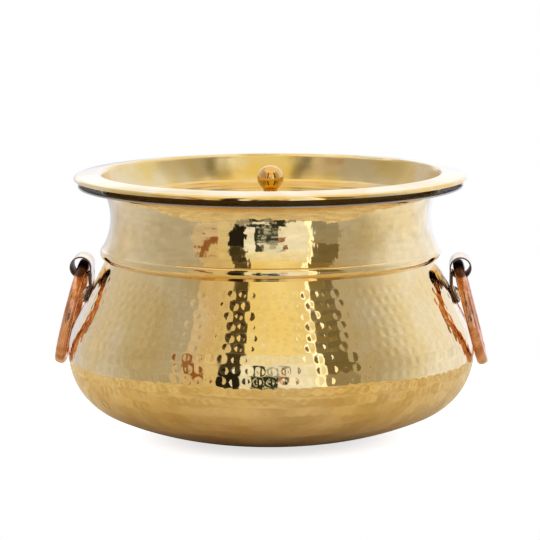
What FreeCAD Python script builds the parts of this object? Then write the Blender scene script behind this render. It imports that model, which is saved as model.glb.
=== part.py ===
import FreeCAD, Part
import math
import os
import re
import Sketcher
from FreeCAD import Placement, Rotation, Vector

# A hammered brass cooking pot (handi) with a dished lid, a ball knob and two copper ring handles.
# Frame: millimetres, origin at the middle of the flat base, +Z up, the ring handles at +X and -X.

doc = FreeCAD.newDocument("cooking_pot")
sizes = doc.addObject("Spreadsheet::Sheet", "Sizes")

# Every size that can be set by itself, each with its name and its value in millimetres or degrees.
chosen = {
    # pot, measured on the outside of the sheet
    "pot_sheet": 1.6,
    "base_radius": 28,
    "bowl_bend": 230,
    "belly_radius": 150,
    "belly_bend": 48.5,
    "shoulder_inset": 28.4,
    "shoulder_rise": 74.05,
    "bead_stand": 4.4,
    "bead_bend": 5,
    "bead_sink": 0.29,
    "neck_tuck": 3.4,
    "neck_bend": 43,
    "flare_bend": 8,
    "rim_reach": 23.8,
    "rim_rise": 24.4,
    "lip_angle": 5,
    # lid, measured on the underside of the sheet
    "lid_sheet": 1.2,
    "lid_overhang": 2.8,
    "lid_floor_drop": 13,
    "lid_step_inset": 30.2,
    "lid_step_rise": 1.2,
    "lid_step_run": 2.4,
    "lid_floor_bend": 5,
    "lid_wall_angle": 23,
    "lid_crown_bend": 2.5,
    "lid_crown_rise": 7.6,
    "flange_angle": 6.3,
    "flange_edge_bend": 1.5,
    "flange_edge_depth": 3.1,
    # knob and the screw that holds it
    "ball_radius": 9.7,
    "knob_length": 23.9,
    "knob_neck_radius": 5.2,
    "knob_neck_bend": 4,
    "knob_foot_radius": 7,
    "screw_radius": 2,
    "screw_reach": 11,
    "screw_head_radius": 4,
    "screw_head_depth": 2.4,
    "screw_slot_width": 1,
    "screw_slot_depth": 1,
    "washer_radius": 7.5,
    "washer_thickness": 1,
    # strap brackets
    "strap_sheet": 1.1,
    "strap_width": 28,
    "eye_bore_radius": 7,
    "eye_out": 7.7,
    "eye_up": 15.5,
    "leaf_drop": 24,
    "leaf_length": 12.5,
    # rivets
    "rivet_radius": 2,
    "rivet_inset": 6.5,
    "rivet_head_radius": 4,
    "rivet_head_height": 1.9,
    "rivet_tail_radius": 3.6,
    "rivet_tail_height": 1.3,
    # ring handles
    "bar_radius": 4,
    "ring_radius": 36,
    "ring_slip": 1.4,
    # clearances
    "seat_gap": 0.3,
    "hole_gap": 0.3,
    "swing_gap": 0.75,
    "lean_gap": 1.9,
}

# Sizes that follow from the ones above, as formulas of the sheet.
derived = {
    # centre of the belly arc, tangent to the bowl arc that leaves the flat base
    "belly_centre_r": "belly_radius - belly_bend",
    "belly_centre_z": "bowl_bend - sqrt((bowl_bend - belly_bend)^2 - (belly_centre_r - base_radius)^2)",
    # bead, and the crease where the shoulder runs in under it
    "crease_radius": "belly_radius - shoulder_inset",
    "bead_height": "belly_centre_z + shoulder_rise",
    "bead_centre_r": "crease_radius + bead_stand - bead_bend",
    "crease_z": "bead_height - sqrt(bead_bend^2 - (crease_radius - bead_centre_r)^2)",
    # shoulder: a straight line up to the crease, tangent to the belly arc
    "shoulder_span": "sqrt((crease_radius - belly_centre_r)^2 + (crease_z - belly_centre_z)^2)",
    "shoulder_angle": "atan((crease_z - belly_centre_z) / (crease_radius - belly_centre_r))"
                      " + asin(belly_bend / shoulder_span)",
    "wall_tilt": "shoulder_angle - 90 deg",
    # neck: its arc sinks a little into the bead's, and the two cross in a fine crease
    "neck_radius": "crease_radius - neck_tuck",
    "neck_centre_r": "neck_radius + neck_bend",
    "neck_height": "bead_height + sqrt((neck_bend + bead_bend - bead_sink)^2"
                   " - (neck_centre_r - bead_centre_r)^2)",
    # flare: its arc is tangent to the neck arc and to the underside of the lip
    "rim_radius": "neck_radius + rim_reach",
    "rim_height": "neck_height + rim_rise",
    "lip_z": "rim_height - pot_sheet * cos(lip_angle)",
    "flare_side": "(neck_centre_r - rim_radius) * sin(lip_angle) - (neck_height - lip_z) * cos(lip_angle)",
    "flare_along": "sqrt((neck_bend - flare_bend)^2 - (flare_side - flare_bend)^2)",
    "flare_centre_r": "neck_centre_r - (flare_side - flare_bend) * sin(lip_angle)"
                      " - flare_along * cos(lip_angle)",
    "flare_centre_z": "neck_height + (flare_side - flare_bend) * cos(lip_angle)"
                      " - flare_along * sin(lip_angle)",
    # lid: its sloping wall lies against the inside of the pot's flare
    "lid_seat_radius": "flare_bend + pot_sheet + seat_gap",
    "lid_floor_z": "rim_height - lid_floor_drop",
    "lid_crown_z": "rim_height + lid_crown_rise",
    "lid_radius": "rim_radius + lid_overhang",
    "lid_step_radius": "neck_radius - lid_step_inset",
    "lid_skin_radius": "lid_radius - lid_sheet",
    "lid_top_z": "lid_floor_z + lid_step_rise + lid_sheet",
    # bracket: the leaf lies on the shoulder below the crease, the eye stands above and outside it
    "leaf_r": "crease_radius - leaf_drop * cos(shoulder_angle)",
    "leaf_z": "crease_z - leaf_drop * sin(shoulder_angle)",
    "leaf_foot_r": "leaf_r + seat_gap * cos(wall_tilt)",
    "leaf_foot_z": "leaf_z + seat_gap * sin(wall_tilt)",
    "eye_r": "leaf_r + eye_out",
    "eye_z": "leaf_z + eye_up",
    "eye_radius": "eye_bore_radius + strap_sheet",
    "leaf_spread": "2 * asin(strap_width / 2 / eye_r)",
    # leg: from the top of the leaf straight up to the eye, which it meets as a tangent
    "leg_thick": "2 * strap_sheet",
    "leg_span": "sqrt((eye_r - leaf_foot_r)^2 + (eye_z - leaf_foot_z)^2)",
    "leg_run": "sqrt(leg_span^2 - eye_radius^2)",
    "leg_angle": "atan((eye_z - leaf_foot_z) / (eye_r - leaf_foot_r)) + asin(eye_radius / leg_span)",
    "leg_notch": "sqrt((eye_bore_radius + strap_sheet / 2)^2 - (eye_radius - leg_thick)^2)",
    # rivets: side by side on the middle of the leaf, square to the wall
    "rivet_turn": "asin((strap_width / 2 - rivet_inset) / eye_r)",
    "rivet_r": "leaf_foot_r - leaf_length / 2 * cos(shoulder_angle) + leg_thick * cos(wall_tilt)",
    "rivet_z": "leaf_foot_z - leaf_length / 2 * sin(shoulder_angle) + leg_thick * sin(wall_tilt)",
    "rivet_length": "leg_thick + pot_sheet + 3 * seat_gap",
    # ring: hangs on the two ends of the eye, slipped in it towards the pot, and leans out over the belly
    "ring_drop": "eye_bore_radius - swing_gap + sqrt((ring_radius - bar_radius)^2 - (strap_width / 2)^2)",
    "lean_fall": "eye_z - belly_centre_z",
    "lean_stop": "belly_bend + bar_radius + lean_gap",
}

# The ring leans out until none of its points is nearer to the belly than the lean gap: its lowest
# point, or one beside that. Each point stands on an arm from the eye's centre.
for turn in (0, 30, 45, 60):
    reach = "ring_%d_reach" % turn
    arm = "ring_%d_arm" % turn
    side = "ring_%d_side" % turn
    span = "ring_%d_span" % turn
    derived[reach] = "ring_drop + ring_radius * cos(%d deg)" % turn
    derived[arm] = "sqrt(%s^2 + ring_slip^2)" % reach
    derived[side] = "eye_r + (ring_radius * sin(%d deg))^2 / (2 * belly_radius) - belly_centre_r" % turn
    derived[span] = "sqrt(%s^2 + lean_fall^2)" % side
    derived["ring_%d_lean" % turn] = ("acos((%s^2 + %s^2 - lean_stop^2) / (2 * %s * %s))"
                                      " - atan(%s / lean_fall) + atan(ring_slip / %s)"
                                      % (arm, span, arm, span, side, reach))
derived["ring_lean"] = "max(ring_0_lean; ring_30_lean; ring_45_lean; ring_60_lean)"

row = 0
for name, value in list(chosen.items()) + list(derived.items()):
    row += 1
    sizes.set("A%d" % row, name)
    sizes.set("B%d" % row, "=" + value if isinstance(value, str) else str(value))
    sizes.setAlias("B%d" % row, name)
doc.recompute()


def size(name):
    """The present value of a size of the sheet."""
    value = sizes.get(name)
    return value if isinstance(value, (int, float)) else value.Value


def bind(thing, path, formula):
    """Ties a property or constraint to a formula of the sheet's sizes."""
    known = set(chosen) | set(derived)
    tied = re.sub(r"[a-z_]+", lambda w: "Sizes." + w.group() if w.group() in known else w.group(), formula)
    thing.setExpression(path, tied)


class Outline:
    """Adds lines and arcs to a sketch, end to end, and ties them to the sizes."""

    def __init__(self, sketch):
        self.sketch = sketch
        self.path = []

    def line(self, start, end):
        edge = Part.LineSegment(Vector(start[0], start[1], 0), Vector(end[0], end[1], 0))
        self.path.append((self.sketch.addGeometry(edge, False), 1, 2))
        return self.path[-1]

    def arc(self, centre, radius, start, end):
        """An arc between two angles in degrees, clockwise where the end is the smaller."""
        circle = Part.Circle(Vector(centre[0], centre[1], 0), Vector(0, 0, 1), radius)
        low, high = sorted((math.radians(start), math.radians(end)))
        edge = Part.ArcOfCircle(circle, low, high)
        ends = (1, 2) if end > start else (2, 1)
        self.path.append((self.sketch.addGeometry(edge, False),) + ends)
        return self.path[-1]

    def circle(self, centre, radius):
        edge = Part.Circle(Vector(centre[0], centre[1], 0), Vector(0, 0, 1), radius)
        return self.sketch.addGeometry(edge, False)

    def rule(self, kind, *where):
        return self.sketch.addConstraint(Sketcher.Constraint(kind, *where))

    def join(self, kind="Coincident", first=-2, second=-1):
        """Joins the end of one edge to the start of another."""
        a, b = self.path[first], self.path[second]
        self.rule(kind, a[0], a[2], b[0], b[1])

    def close(self):
        self.join("Coincident", -1, 0)

    def dim(self, kind, where, formula, start=0.0):
        """A dimension whose value is a formula of the sizes."""
        index = self.sketch.addConstraint(Sketcher.Constraint(kind, *where, start))
        bind(self.sketch, "Constraints[%d]" % index, formula)

    def radius(self, edge, formula, start):
        self.dim("Radius", (edge[0],), formula, start)

    def at_x(self, edge, point, formula, start):
        self.dim("DistanceX", (-1, 1, edge[0], point), formula, start)

    def at_y(self, edge, point, formula, start):
        self.dim("DistanceY", (-1, 1, edge[0], point), formula, start)


def section_sketch(name):
    """A free sketch in the XZ plane, for the section of a sheet piece."""
    sketch = doc.addObject("Sketcher::SketchObject", name)
    sketch.Placement = Placement(Vector(0, 0, 0), Rotation(Vector(1, 0, 0), 90))
    return sketch


def body_sketch(body, name, role="XZ_Plane"):
    sketch = body.newObject("Sketcher::SketchObject", name)
    plane = [f for f in body.Origin.OriginFeatures if f.Role == role][0]
    sketch.AttachmentSupport = (plane, [""])
    sketch.MapMode = "FlatFace"
    return sketch


def new_body(name):
    body = doc.addObject("PartDesign::Body", name)
    body.Label = name
    return body


def revolve(body, sketch, name, spread=None):
    turn = body.newObject("PartDesign::Revolution", name)
    turn.Profile = sketch
    turn.ReferenceAxis = (sketch, ["V_Axis"])
    if spread:
        turn.Midplane = True
        bind(turn, "Angle", spread)
    else:
        turn.Angle = 360
    doc.recompute()
    return turn


def spin_sheet(name, sketch, sheet):
    """Gives a section line its sheet thickness on its left side and turns it about Z."""
    section = doc.addObject("Part::Offset2D", name + "_section")
    section.Source = sketch
    section.Fill = True
    section.Mode = "Skin"
    bind(section, "Value", sheet)
    turned = doc.addObject("Part::Revolution", name)
    turned.Source = section
    turned.Axis = Vector(0, 0, 1)
    turned.Base = Vector(0, 0, 0)
    turned.Angle = 360
    turned.Solid = True
    doc.recompute()
    return turned


def angle_to(centre, point):
    return math.degrees(math.atan2(point[1] - centre[1], point[0] - centre[0]))


# Pot: one sheet of brass raised into base, bowl, belly, shoulder, bead, neck and flared rim.

belly_centre = (size("belly_centre_r"), size("belly_centre_z"))
bead_centre = (size("bead_centre_r"), size("bead_height"))
neck_centre = (size("neck_centre_r"), size("neck_height"))
flare_centre = (size("flare_centre_r"), size("flare_centre_z"))
crease = (size("crease_radius"), size("crease_z"))
bowl_end = angle_to((size("base_radius"), size("bowl_bend")), belly_centre)
belly_end = size("wall_tilt")
belly_top = (belly_centre[0] + size("belly_bend") * math.cos(math.radians(belly_end)),
             belly_centre[1] + size("belly_bend") * math.sin(math.radians(belly_end)))
neck_end = angle_to(neck_centre, flare_centre) % 360

# the fine upper crease, where the bead and the neck arc cross
apart = math.dist(bead_centre, neck_centre)
along = (size("bead_bend") ** 2 - size("neck_bend") ** 2 + apart ** 2) / (2 * apart)
across = math.sqrt(size("bead_bend") ** 2 - along ** 2)
unit = ((neck_centre[0] - bead_centre[0]) / apart, (neck_centre[1] - bead_centre[1]) / apart)
bead_top = (bead_centre[0] + along * unit[0] - across * unit[1],
            bead_centre[1] + along * unit[1] + across * unit[0])

pot_line = section_sketch("pot_line")
pot = Outline(pot_line)
base = pot.line((0, 0), (size("base_radius"), 0))
pot.rule("Coincident", base[0], 1, -1, 1)
pot.rule("Horizontal", base[0])
pot.at_x(base, 2, "base_radius", size("base_radius"))
bowl = pot.arc((size("base_radius"), size("bowl_bend")), size("bowl_bend"), -90, bowl_end)
pot.join("Tangent")
pot.radius(bowl, "bowl_bend", size("bowl_bend"))
belly = pot.arc(belly_centre, size("belly_bend"), bowl_end, belly_end)
pot.join("Tangent")
pot.radius(belly, "belly_bend", size("belly_bend"))
pot.at_x(belly, 3, "belly_centre_r", belly_centre[0])
shoulder = pot.line(belly_top, crease)
pot.join("Tangent")
bead = pot.arc(bead_centre, size("bead_bend"), angle_to(bead_centre, crease),
               angle_to(bead_centre, bead_top))
pot.join()
pot.at_x(bead, 1, "crease_radius", crease[0])
pot.radius(bead, "bead_bend", size("bead_bend"))
pot.at_x(bead, 3, "bead_centre_r", bead_centre[0])
pot.at_y(bead, 3, "bead_height", bead_centre[1])
neck = pot.arc(neck_centre, size("neck_bend"), angle_to(neck_centre, bead_top) % 360, neck_end)
pot.join()
pot.radius(neck, "neck_bend", size("neck_bend"))
pot.at_x(neck, 3, "neck_centre_r", neck_centre[0])
pot.at_y(neck, 3, "neck_height", neck_centre[1])
flare = pot.arc(flare_centre, size("flare_bend"), neck_end, 90 + size("lip_angle"))
pot.join("Tangent")
pot.radius(flare, "flare_bend", size("flare_bend"))
lip_start = (flare_centre[0] - size("flare_bend") * math.sin(math.radians(size("lip_angle"))),
             flare_centre[1] + size("flare_bend") * math.cos(math.radians(size("lip_angle"))))
lip = pot.line(lip_start, (size("rim_radius"), size("lip_z")))
pot.join("Tangent")
pot.at_x(lip, 2, "rim_radius", size("rim_radius"))
pot.at_y(lip, 2, "lip_z", size("lip_z"))
pot.dim("Angle", (lip[0],), "lip_angle", math.radians(size("lip_angle")))
doc.recompute()
pot_shell = spin_sheet("pot_shell", pot_line, "pot_sheet")


# Rivet seats: one frame for each rivet, on the outer face of the bracket's leaf, axis outwards.

rivet_names = {"right_rivet_front": (0, -1), "right_rivet_back": (0, 1),
               "left_rivet_front": (180, 1), "left_rivet_back": (180, -1)}


def rivet_seat(side, hand, lift=0.0):
    """Placement on the leaf: square to the wall, then turned about the pot's axis."""
    tilt = math.radians(size("wall_tilt"))
    point = Vector(size("rivet_r") + lift * math.cos(tilt), 0, size("rivet_z") + lift * math.sin(tilt))
    stand = Placement(point, Rotation(Vector(0, 1, 0), 90 - size("wall_tilt")))
    turn = Placement(Vector(0, 0, 0), Rotation(Vector(0, 0, 1), side + hand * size("rivet_turn")))
    return turn.multiply(stand)


def drill(name, base_object, seats):
    """Cuts the rivets' holes through a sheet piece."""
    drills = []
    for number, seat in enumerate(seats):
        tool = doc.addObject("Part::Cylinder", "%s_drill_%d" % (name, number + 1))
        bind(tool, "Radius", "rivet_radius + hole_gap")
        bind(tool, "Height", "2 * rivet_length")
        tool.Placement = seat.multiply(Placement(Vector(0, 0, -1.5 * size("rivet_length")), Rotation()))
        drills.append(tool)
    group = doc.addObject("Part::MultiFuse", name + "_drills")
    group.Shapes = drills
    cut = doc.addObject("Part::Cut", name)
    cut.Base = base_object
    cut.Tool = group
    cut.Label = name
    doc.recompute()
    return cut


pot_body = drill("pot_body", pot_shell, [rivet_seat(*place) for place in rivet_names.values()])


# Lid: one spun sheet, a stepped dish with a sloping wall, a crown, a flange and a turned-down edge.

wall_angle = math.radians(size("lid_wall_angle"))
wall_way = (math.sin(wall_angle), math.cos(wall_angle))
seat = (flare_centre[0] - size("lid_seat_radius") * wall_way[1],
        flare_centre[1] + size("lid_seat_radius") * wall_way[0])


def on_wall(height):
    """The point of the lid's wall line at a height."""
    return (seat[0] + (height - seat[1]) * math.tan(wall_angle), height)


floor_centre_z = size("lid_floor_z") + size("lid_floor_bend")
floor_centre = (on_wall(floor_centre_z)[0] - size("lid_floor_bend") / math.cos(wall_angle), floor_centre_z)
crown_centre_z = size("lid_crown_z") - size("lid_crown_bend")
crown_centre = (on_wall(crown_centre_z)[0] + size("lid_crown_bend") / math.cos(wall_angle), crown_centre_z)
slope = math.radians(size("flange_angle"))
flange_start = (crown_centre[0] + size("lid_crown_bend") * math.sin(slope),
                crown_centre[1] + size("lid_crown_bend") * math.cos(slope))
edge_centre_r = size("lid_skin_radius") - size("flange_edge_bend")
flange_end_r = edge_centre_r + size("flange_edge_bend") * math.sin(slope)
flange_end = (flange_end_r, flange_start[1] - (flange_end_r - flange_start[0]) * math.tan(slope))
edge_centre = (edge_centre_r, flange_end[1] - size("flange_edge_bend") * math.cos(slope))

lid_line = section_sketch("lid_line")
lid = Outline(lid_line)
step_top = size("lid_floor_z") + size("lid_step_rise")
middle = lid.line((0, step_top), (size("lid_step_radius"), step_top))
lid.rule("PointOnObject", middle[0], 1, -2)
lid.rule("Horizontal", middle[0])
lid.at_x(middle, 2, "lid_step_radius", size("lid_step_radius"))
step = lid.line((size("lid_step_radius"), step_top),
                (size("lid_step_radius") + size("lid_step_run"), size("lid_floor_z")))
lid.join()
lid.at_x(step, 2, "lid_step_radius + lid_step_run", size("lid_step_radius") + size("lid_step_run"))
lid.at_y(step, 2, "lid_floor_z", size("lid_floor_z"))
lid.at_y(step, 1, "lid_floor_z + lid_step_rise", step_top)
floor = lid.line((size("lid_step_radius") + size("lid_step_run"), size("lid_floor_z")),
                 (floor_centre[0], size("lid_floor_z")))
lid.join()
lid.rule("Horizontal", floor[0])
floor_bend = lid.arc(floor_centre, size("lid_floor_bend"), -90, -size("lid_wall_angle"))
lid.join("Tangent")
lid.radius(floor_bend, "lid_floor_bend", size("lid_floor_bend"))
lid.at_x(floor_bend, 3,
         "flare_centre_r - lid_seat_radius / cos(lid_wall_angle)"
         " + (lid_floor_z + lid_floor_bend - flare_centre_z) * tan(lid_wall_angle)"
         " - lid_floor_bend / cos(lid_wall_angle)", floor_centre[0])
dish_wall = lid.line(
    (floor_centre[0] + size("lid_floor_bend") * wall_way[1],
     floor_centre[1] - size("lid_floor_bend") * wall_way[0]),
    (crown_centre[0] - size("lid_crown_bend") * wall_way[1],
     crown_centre[1] + size("lid_crown_bend") * wall_way[0]))
lid.join("Tangent")
lid.dim("Angle", (dish_wall[0],), "90 - lid_wall_angle", math.radians(90) - wall_angle)
crown = lid.arc(crown_centre, size("lid_crown_bend"), 180 - size("lid_wall_angle"),
                90 - size("flange_angle"))
lid.join("Tangent")
lid.radius(crown, "lid_crown_bend", size("lid_crown_bend"))
lid.at_y(crown, 3, "lid_crown_z - lid_crown_bend", crown_centre[1])
flange = lid.line(flange_start, flange_end)
lid.join("Tangent")
lid.dim("Angle", (flange[0],), "-flange_angle", -slope)
edge_bend = lid.arc(edge_centre, size("flange_edge_bend"), 90 - size("flange_angle"), 0)
lid.join("Tangent")
lid.radius(edge_bend, "flange_edge_bend", size("flange_edge_bend"))
edge_low = edge_centre[1] + size("flange_edge_bend") - size("flange_edge_depth") + size("lid_sheet")
edge = lid.line((size("lid_skin_radius"), edge_centre[1]), (size("lid_skin_radius"), edge_low))
lid.join("Tangent")
lid.at_x(edge, 2, "lid_skin_radius", size("lid_skin_radius"))
lid.dim("DistanceY", (edge[0], 2, edge_bend[0], 3),
        "flange_edge_depth - flange_edge_bend - lid_sheet", edge_centre[1] - edge_low)
doc.recompute()
lid_sheet = spin_sheet("lid_dish", lid_line, "lid_sheet")

screw_hole = doc.addObject("Part::Cylinder", "screw_hole")
bind(screw_hole, "Radius", "screw_radius + hole_gap")
bind(screw_hole, "Height", "3 * lid_sheet")
screw_hole.Placement = Placement(Vector(0, 0, size("lid_top_z") - 2 * size("lid_sheet")), Rotation())
lid_node = doc.addObject("Part::Cut", "lid")
lid_node.Label = "lid"
lid_node.Base = lid_sheet
lid_node.Tool = screw_hole
doc.recompute()


# Knob: turned from solid brass, a ball on a hollowed neck with a flat foot, drilled for its screw.

knob = new_body("lid_knob")
knob.Placement = Placement(Vector(0, 0, size("lid_top_z")), Rotation())
knob_sketch = body_sketch(knob, "knob_profile")
ball_z = size("knob_length") - size("ball_radius")
waist_r = size("knob_neck_radius") + size("knob_neck_bend")
waist_z = ball_z - math.sqrt((size("ball_radius") + size("knob_neck_bend")) ** 2 - waist_r ** 2)
waist_top = angle_to((waist_r, waist_z), (0, ball_z))
foot_cos = (waist_r - size("knob_foot_radius")) / size("knob_neck_bend")
foot_angle = 180 + math.degrees(math.acos(foot_cos))
foot_z = waist_z - size("knob_neck_bend") * math.sqrt(1 - foot_cos ** 2)
bore_r = size("screw_radius") + size("hole_gap")
bore_top = size("screw_reach") + size("hole_gap")
shape = Outline(knob_sketch)
ball = shape.arc((0, ball_z), size("ball_radius"), 90, waist_top - 180)
shape.rule("PointOnObject", ball[0], 3, -2)
shape.rule("PointOnObject", ball[0], ball[1], -2)
shape.radius(ball, "ball_radius", size("ball_radius"))
shape.at_y(ball, 3, "knob_length - ball_radius", ball_z)
waist = shape.arc((waist_r, waist_z), size("knob_neck_bend"), waist_top, foot_angle)
shape.join("Tangent")
shape.radius(waist, "knob_neck_bend", size("knob_neck_bend"))
shape.at_x(waist, 3, "knob_neck_radius + knob_neck_bend", waist_r)
foot = shape.line((size("knob_foot_radius"), foot_z), (size("knob_foot_radius"), 0))
shape.join()
shape.rule("Vertical", foot[0])
shape.at_x(foot, 2, "knob_foot_radius", size("knob_foot_radius"))
sole = shape.line((size("knob_foot_radius"), 0), (bore_r, 0))
shape.join()
shape.rule("PointOnObject", sole[0], 1, -1)
shape.rule("PointOnObject", sole[0], 2, -1)
shape.at_x(sole, 2, "screw_radius + hole_gap", bore_r)
bore = shape.line((bore_r, 0), (bore_r, bore_top))
shape.join()
shape.rule("Vertical", bore[0])
shape.at_y(bore, 2, "screw_reach + hole_gap", bore_top)
bore_end = shape.line((bore_r, bore_top), (0, bore_top))
shape.join()
shape.rule("Horizontal", bore_end[0])
shape.rule("PointOnObject", bore_end[0], 2, -2)
core = shape.line((0, bore_top), (0, size("knob_length")))
shape.join()
shape.close()
revolve(knob, knob_sketch, "knob_turning")


# Washer under the lid, flat against it.

washer = new_body("knob_washer")
washer.Placement = Placement(
    Vector(0, 0, size("lid_top_z") - size("lid_sheet") - size("washer_thickness")), Rotation())
washer_sketch = body_sketch(washer, "washer_rings", "XY_Plane")
rings = Outline(washer_sketch)
for radius, formula in ((size("washer_radius"), "washer_radius"), (bore_r, "screw_radius + hole_gap")):
    ring = rings.circle((0, 0), radius)
    rings.rule("Coincident", ring, 3, -1, 1)
    rings.dim("Radius", (ring,), formula, radius)
washer_pad = washer.newObject("PartDesign::Pad", "washer_plate")
washer_pad.Profile = washer_sketch
bind(washer_pad, "Length", "washer_thickness")
doc.recompute()


# Screw: a round head with a slot, its shank up through washer and lid into the knob.

screw = new_body("knob_screw")
screw.Placement = washer.Placement
screw_sketch = body_sketch(screw, "screw_profile")
head_depth = size("screw_head_depth")
shank_top = size("screw_reach") + size("lid_sheet") + size("washer_thickness")
shape = Outline(screw_sketch)
head_bend = (size("screw_head_radius") ** 2 + head_depth ** 2) / (2 * head_depth)
dome = shape.arc((0, head_bend - head_depth), head_bend,
                 -90, angle_to((0, head_bend - head_depth), (size("screw_head_radius"), 0)))
shape.rule("PointOnObject", dome[0], 3, -2)
shape.rule("PointOnObject", dome[0], 1, -2)
shape.at_y(dome, 1, "-screw_head_depth", -head_depth)
under = shape.line((size("screw_head_radius"), 0), (size("screw_radius"), 0))
shape.join()
shape.rule("PointOnObject", under[0], 1, -1)
shape.rule("PointOnObject", under[0], 2, -1)
shape.at_x(under, 1, "screw_head_radius", size("screw_head_radius"))
shape.at_x(under, 2, "screw_radius", size("screw_radius"))
shank = shape.line((size("screw_radius"), 0), (size("screw_radius"), shank_top))
shape.join()
shape.rule("Vertical", shank[0])
shape.at_y(shank, 2, "screw_reach + lid_sheet + washer_thickness", shank_top)
shank_end = shape.line((size("screw_radius"), shank_top), (0, shank_top))
shape.join()
shape.rule("Horizontal", shank_end[0])
shape.rule("PointOnObject", shank_end[0], 2, -2)
core = shape.line((0, shank_top), (0, -head_depth))
shape.join()
shape.close()
revolve(screw, screw_sketch, "screw_turning")
slot_sketch = body_sketch(screw, "slot_profile")
shape = Outline(slot_sketch)
half = size("screw_slot_width") / 2
slot_top = size("screw_slot_depth") - head_depth
corners = [(-half, slot_top), (half, slot_top), (half, -2 * head_depth), (-half, -2 * head_depth)]
for number in range(4):
    shape.line(corners[number], corners[(number + 1) % 4])
    if number:
        shape.join()
shape.close()
for number, kind in enumerate(("Horizontal", "Vertical", "Horizontal", "Vertical")):
    shape.rule(kind, shape.path[number][0])
shape.at_x(shape.path[0], 2, "screw_slot_width / 2", half)
shape.at_y(shape.path[0], 2, "screw_slot_depth - screw_head_depth", slot_top)
shape.dim("DistanceX", (shape.path[0][0], 1, shape.path[0][0], 2), "screw_slot_width", 2 * half)
shape.at_y(shape.path[2], 1, "-2 * screw_head_depth", -2 * head_depth)
slot = screw.newObject("PartDesign::Pocket", "screw_slot")
slot.Profile = slot_sketch
slot.Type = "ThroughAll"
slot.Midplane = True
doc.recompute()


# Brackets: a brass strap rolled into an eye, both its tails laid together as a leaf on the wall.

eye = (size("eye_r"), size("eye_z"))
leg_angle = math.radians(size("leg_angle"))


def leg_point(along, aside):
    """A point of the leg, measured from the leaf's foot along the leg and away from the wall."""
    return (size("leaf_foot_r") + along * math.cos(leg_angle) + aside * math.sin(leg_angle),
            size("leaf_foot_z") + along * math.sin(leg_angle) - aside * math.cos(leg_angle))


def make_bracket(name, turn):
    body = new_body(name + "_strap")
    body.Placement = turn
    roll_sketch = body_sketch(body, name + "_eye_rings")
    shape = Outline(roll_sketch)
    for radius, formula in ((size("eye_radius"), "eye_radius"),
                            (size("eye_bore_radius"), "eye_bore_radius")):
        ring = shape.circle(eye, radius)
        shape.dim("DistanceX", (-1, 1, ring, 3), "eye_r", eye[0])
        shape.dim("DistanceY", (-1, 1, ring, 3), "eye_z", eye[1])
        shape.dim("Radius", (ring,), formula, radius)
    roll = body.newObject("PartDesign::Pad", name + "_eye")
    roll.Profile = roll_sketch
    roll.Midplane = True
    bind(roll, "Length", "strap_width")
    doc.recompute()

    leg_sketch = body_sketch(body, name + "_leg_profile")
    shape = Outline(leg_sketch)
    run, notch, thick = size("leg_run"), size("leg_notch"), size("leg_thick")
    corners = [leg_point(0, 0), leg_point(run, 0), leg_point(run - notch, thick), leg_point(0, thick)]
    for number in range(4):
        shape.line(corners[number], corners[(number + 1) % 4])
        if number:
            shape.join()
    shape.close()
    back, front, foot = shape.path[0], shape.path[2], shape.path[3]
    shape.at_x(back, 1, "leaf_foot_r", corners[0][0])
    shape.at_y(back, 1, "leaf_foot_z", corners[0][1])
    shape.dim("Angle", (back[0],), "leg_angle", leg_angle)
    shape.dim("Distance", (back[0],), "leg_run", run)
    shape.rule("Perpendicular", back[0], foot[0])
    shape.rule("Parallel", back[0], front[0])
    shape.dim("Distance", (foot[0],), "leg_thick", thick)
    shape.dim("Distance", (front[0],), "leg_run - leg_notch", run - notch)
    leg = body.newObject("PartDesign::Pad", name + "_leg")
    leg.Profile = leg_sketch
    leg.Midplane = True
    bind(leg, "Length", "strap_width")
    doc.recompute()

    leaf_sketch = body_sketch(body, name + "_leaf_profile")
    shape = Outline(leaf_sketch)
    up = math.radians(size("shoulder_angle"))
    length = size("leaf_length")
    corners = [(size("leaf_foot_r") - along * math.cos(up) + aside * math.sin(up),
                size("leaf_foot_z") - along * math.sin(up) - aside * math.cos(up))
               for along, aside in ((length, 0), (0, 0), (0, thick), (length, thick))]
    for number in range(4):
        shape.line(corners[number], corners[(number + 1) % 4])
        if number:
            shape.join()
    shape.close()
    back, top = shape.path[0], shape.path[1]
    shape.at_x(back, 2, "leaf_foot_r", corners[1][0])
    shape.at_y(back, 2, "leaf_foot_z", corners[1][1])
    shape.dim("Angle", (back[0],), "shoulder_angle", up)
    shape.dim("Distance", (back[0],), "leaf_length", length)
    shape.dim("Distance", (top[0],), "leg_thick", thick)
    shape.rule("Perpendicular", back[0], top[0])
    shape.rule("Parallel", back[0], shape.path[2][0])
    shape.rule("Parallel", top[0], shape.path[3][0])
    revolve(body, leaf_sketch, name + "_leaf", "leaf_spread")
    return body


turns = {"right": Placement(), "left": Placement(Vector(0, 0, 0), Rotation(Vector(0, 0, 1), 180))}
brackets = {}
for side, turn in turns.items():
    strap = make_bracket(side + "_bracket", turn)
    seats = [rivet_seat(*place) for key, place in rivet_names.items() if key.startswith(side)]
    brackets[side] = drill(side + "_bracket", strap, seats)


# Rivets: a domed head on the leaf, a shank through leaf and wall, a flat tail inside the pot.

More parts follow.
